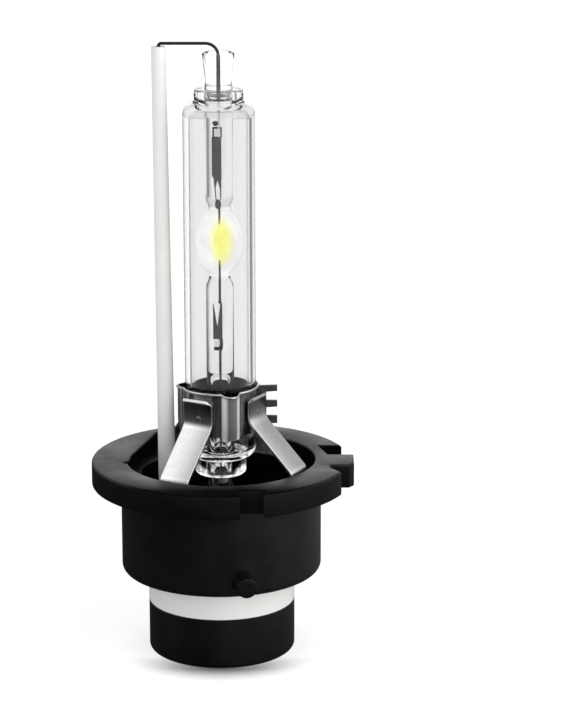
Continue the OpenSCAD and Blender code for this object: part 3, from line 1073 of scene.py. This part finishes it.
def build_rim():
    """The rolled bead along the band's upper rim, paler than the band as a painted highlight."""
    radius, steps, sides = 0.15, 240, 10
    verts, faces = [], []
    for k in range(steps):
        turn = 360 * k / steps - 180
        r, z = band_shape(turn, 1.0)
        a = math.radians(turn - 90)
        for i in range(sides):
            b = 2 * math.pi * i / sides
            q = r + 0.13 + radius * math.cos(b)
            verts.append((q * math.cos(a), q * math.sin(a), z - 0.1 + radius * math.sin(b)))
    for k in range(steps):
        here, there = k * sides, (k + 1) % steps * sides
        for i in range(sides):
            n = (i + 1) % sides
            faces.append((here + i, here + n, there + n, there + i))
    return finish_mesh("clamp_rim", verts, faces, 60)


def build_lug_plate():
    """The folded closing lug: a web with three fingers."""
    r0, r1, r2 = BAND_R - 0.05, BAND_R + 1.0, BAND_R + 2.35
    outline = [(r0, F + 4.3), (r2, F + 4.35), (r2, F + 5.3), (r1, F + 5.35), (r1, F + 6.4)]
    outline += [(r2, F + 6.45), (r2, F + 7.25), (r1, F + 7.3), (r1, F + 8.4)]
    outline += [(r2, F + 8.45), (r2, F + 9.2), (r0, F + 9.2)]
    half, soft, turn = 0.26, 0.07, 96
    verts, faces = slab(outline, half, half - soft, soft)
    return finish_mesh("closing_lug", turned(verts, turn), faces, 30)


def leg_centreline(bend, ease):
    """Radius and height along the middle of a leg, with rounded bends."""
    half = 0.175
    foot_r, foot_z = 10.5 + half, F - 0.2
    corners = [
        (BAND_R + half + 0.5, F + 8.5),
        (BAND_R + half + 0.04, F + 8.1),
        (BAND_R + half, F + bend + 0.08),
        (foot_r, foot_z),
        (foot_r, LEDGE),
    ]
    out = [corners[0], corners[1]]
    for i, reach in ((2, ease), (3, 0.5)):
        p, q, s = (Vector(corners[i + d]) for d in (-1, 0, 1))
        back, on = (p - q).normalized(), (s - q).normalized()
        a, b = q + back * min(reach, 2.0), q + on * reach
        for k in range(10):
            t = k / 9
            m = a * (1 - t) ** 2 + q * 2 * t * (1 - t) + b * t * t
            out.append((m.x, m.y))
    out.append(corners[4])
    return out


def strip_section(half_t, half_w, soft):
    """A flat bar's section with rounded corners."""
    out = []
    for quarter, (sx, sy) in enumerate(((1, 1), (-1, 1), (-1, -1), (1, -1))):
        for i in range(4):
            a = math.radians(90 * quarter + 30 * i)
            out.append(
                (sx * (half_t - soft) + soft * math.cos(a), sy * (half_w - soft) + soft * math.sin(a))
            )
    return out


def weld_dot(w, z):
    """A shallow spot weld on a leg's head, drawn for the +X direction."""
    outline = [(0, 0.06), (0.2, 0.05), (0.32, 0.02), (0.38, -0.05)]
    verts, faces = lathe_data(outline, 20, closed=False)
    return [(BAND_R + 0.35 + q[2], w + q[0], z + q[1]) for q in verts], faces


def build_leg(node):
    """A pressed strip: flat head on the band, sloping run, foot turned down into the well."""
    turn, shift, bend, ease = LEGS[node]
    line = leg_centreline(bend, ease)
    section = strip_section(0.17, LEG_W / 2, 0.07)
    rings = []
    n = len(line)
    for i, (r, z) in enumerate(line):
        p0, p1 = Vector(line[max(i - 1, 0)]), Vector(line[min(i + 1, n - 1)])
        t = (p1 - p0).normalized()
        across = Vector((-t.y, t.x))
        if across.x < 0:
            across = -across
        narrow, aside = (0.86, -0.2) if i == 0 else (1.0, 0.0)
        rings.append([(r + across.x * u, w * narrow + aside, z + across.y * u) for u, w in section])
    placed = []
    for data in (bar(rings), weld_dot(0.1, F + bend + 1.0)):
        points, faces = shifted(data, shift)
        placed.append((turned(points, turn), faces))
    return joined(node + "_strip", placed, 40)


# ---------------------------------------------------------------- the object

def build_object():
    """Builds and dresses every piece, and dresses the two CAD pieces that stay."""
    housing = build_housing()
    dress(housing, "black", ["base_housing"])
    face_housing(housing)
    for name, turn in (("lug_front", LUG_TURN), ("lug_back", LUG_TURN + 180)):
        dress(build_lug(name, turn), "black_lug")
    dress(build_plug(), "black_low", ["lower_plug"])
    dress(build_contact_ring(), "plate", ["contact_ring"])
    dress(build_centre_contact(), "brass", ["centre_contact"])
    tube = build_tube()
    dress(tube, "tube", ["outer_tube"])
    paint_edge_glow(tube)
    quartz, cavity = build_burner()
    dress(quartz, "quartz", ["burner"])
    part_quartz(quartz, add_cavity(quartz, cavity))
    dress(build_salts(), "salt", ["salt_film"])
    upper, lower = build_foils()
    dress(upper, "foil", ["upper_foil"])
    dress(lower, "foil", ["lower_foil"])
    upper, lower = build_electrodes()
    dress(upper, "rod", ["upper_electrode"])
    dress(lower, "rod", ["lower_electrode"])
    up, down = build_leads()
    beads, tabs = build_lead_ends()
    dress(up, "bright", ["upper_lead"])
    dress(tabs, "bright")
    dress(beads, "seal")
    dress(down, "foil", ["lower_lead"])
    dress(build_seal(), "seal", ["lead_stop"])
    dress(build_return_wire(), "wire", ["return_wire"])
    dress(build_sleeve(), "ceramic", ["ceramic_sleeve"])
    band = build_band()
    dress(band, "band", ["clamp_band"])
    paint_band_shading(band)
    dress(build_rim(), "rim")
    dress(build_lug_plate(), "dark", ["clamp_lug"])
    for node in LEGS:
        dress(build_leg(node), "sheet", [node])
    for node, material in (("ground_strap", "plate"), ("leg_anchors", "dark")):
        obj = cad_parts[node]
        obj.data.materials.clear()
        obj.data.materials.append(MATS[material])


# ---------------------------------------------------------------- stage, light and camera

def build_floor():
    """A wide round floor, finer near the object."""
    verts, faces = lathe_data([(0, 0), (60, 0), (400, 0), (4000, 0)], 64, closed=False)
    floor = finish_mesh("floor", verts, faces)
    floor.data.materials.append(floor_material())


# The light tent: azimuth from straight behind towards the right, elevation, sharpness, strength.
LOBES = [
    (0, 8, 14, 1.3),
    (-45, 8, 14, 0.3),
    (45, 8, 14, 0.5),
    (90, 8, 14, 1.0),
    (90, 38, 8, 1.1),
    (135, 8, 14, 2.0),
    (135, 38, 8, 1.7),
    (180, 8, 14, 0.6),
    (180, 38, 8, 0.6),
    (-90, 38, 8, 1.7),
]
# What the glass sees: its fill after inner reflections, and the dark side to the right.
GLASS_FILL = 1.0
RIGHT_DARK = 0.15


def lobe(nodes, links, direction, azimuth, elevation, sharpness, strength):
    """One soft patch of light in a direction, both angles in degrees."""
    a, e = math.radians(azimuth), math.radians(elevation)
    dot = nodes.new("ShaderNodeVectorMath")
    dot.operation = "DOT_PRODUCT"
    links.new(direction, dot.inputs[0])
    dot.inputs[1].default_value = (math.sin(a) * math.cos(e), math.cos(a) * math.cos(e), math.sin(e))
    facing = math_node(nodes, links, "MAXIMUM", dot.outputs["Value"], 0.0)
    shape = math_node(nodes, links, "POWER", facing, sharpness)
    return math_node(nodes, links, "MULTIPLY", shape, strength)


def build_world():
    """A tent of soft lobes of light; the camera and the glass see plain white behind the object."""
    world = bpy.data.worlds.new("studio")
    bpy.context.scene.world = world
    world.use_nodes = True
    nodes, links = world.node_tree.nodes, world.node_tree.links
    direction = nodes.new("ShaderNodeTexCoord").outputs["Generated"]
    total = 0.0
    for patch in LOBES:
        total = math_node(nodes, links, "ADD", total, lobe(nodes, links, direction, *patch))
    path = nodes.new("ShaderNodeLightPath").outputs
    axes = nodes.new("ShaderNodeSeparateXYZ")
    links.new(direction, axes.inputs["Vector"])
    clear = spread(nodes, links, axes.outputs["X"], 1.0, RIGHT_DARK, 0.45, 0.85)
    in_glass = math_node(nodes, links, "GREATER_THAN", path["Transmission Depth"], 0.5)
    fill = math_node(nodes, links, "MULTIPLY", in_glass, GLASS_FILL)
    soft = math_node(nodes, links, "MAXIMUM", total, fill)
    seen = math_node(nodes, links, "MAXIMUM", path["Is Camera Ray"], path["Is Transmission Ray"])
    mix = nodes.new("ShaderNodeMix")
    links.new(seen, mix.inputs["Factor"])
    links.new(soft, mix.inputs["A"])
    links.new(clear, mix.inputs["B"])
    links.new(mix.outputs["Result"], nodes["Background"].inputs["Color"])
    nodes["Background"].inputs["Strength"].default_value = 1.0


def build_camera():
    """A low tilt through a narrow lens, aimed a little right of the lamp."""
    tilt = math.radians(14.35)
    distance = 0.3263
    aim = Vector((0.00892, 0, F * MM + 0.01355))
    data = bpy.data.cameras.new("camera")
    data.sensor_fit = "VERTICAL"
    data.sensor_height = 24.0
    data.lens = 90.7
    data.clip_start = 0.01
    data.clip_end = 20.0
    obj = bpy.data.objects.new("camera", data)
    obj.location = aim - Vector((0, math.cos(tilt), -math.sin(tilt))) * distance
    obj.rotation_euler = (math.pi / 2 - tilt, 0, 0)
    bpy.context.scene.collection.objects.link(obj)
    bpy.context.scene.camera = obj


def set_look():
    """Plain colours, and enough bounces for the nested glass."""
    scene = bpy.context.scene
    scene.view_settings.view_transform = "Standard"
    scene.cycles.max_bounces = 24
    scene.cycles.transmission_bounces = 24
    scene.cycles.transparent_max_bounces = 24


build_camera()
build_object()
build_floor()
build_world()
set_look()
